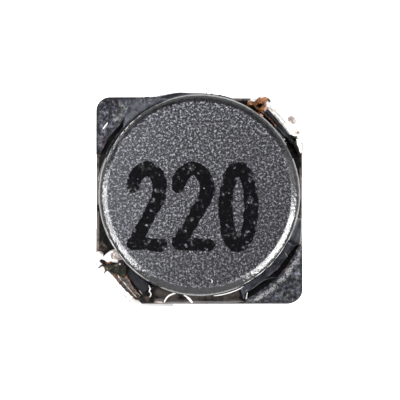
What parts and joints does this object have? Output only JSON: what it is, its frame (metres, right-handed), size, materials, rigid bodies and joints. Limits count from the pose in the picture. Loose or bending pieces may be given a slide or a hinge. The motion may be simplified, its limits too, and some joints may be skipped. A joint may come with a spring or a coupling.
{
  "type": "shielded surface-mount power inductor",
  "caption": "Square shielded power inductor: a wound ferrite drum glued in a chamfered ferrite ring, with sheet terminals on opposite corners.",
  "frame": {"origin": "centre of the footprint on the solder plane, where the undersides of both pads lie", "axes": "+Z away from the board, +X and +Y along the sides of the square ring, with the finish terminal on the +X +Y corner and the start terminal on the -X -Y corner"},
  "size_m": [0.0058, 0.0058, 0.0028],
  "materials": {
    "drum_ferrite": "fine grained, satin",
    "ring_ferrite": "matte",
    "enamelled_copper": "glossy enamel over copper",
    "tinned_sheet": "solder dipped, bright",
    "amber_resin": "glossy, slightly clear",
    "solder": "bright, uneven",
    "fluxed_solder": "stained with amber flux",
    "black_adhesive": "glossy, uneven"
  },
  "bodies": {
    "root": {"drum_core": "drum_ferrite", "shield_ring": "ring_ferrite", "winding": "enamelled_copper", "terminal_start": "tinned_sheet", "terminal_finish": "tinned_sheet", "terminal_bond_start": "amber_resin", "terminal_bond_finish": "amber_resin", "solder_start": "solder", "solder_finish": "fluxed_solder", "adhesive_north": "black_adhesive", "adhesive_south": "black_adhesive", "adhesive_southeast": "black_adhesive"}
  },
  "joints": []
}
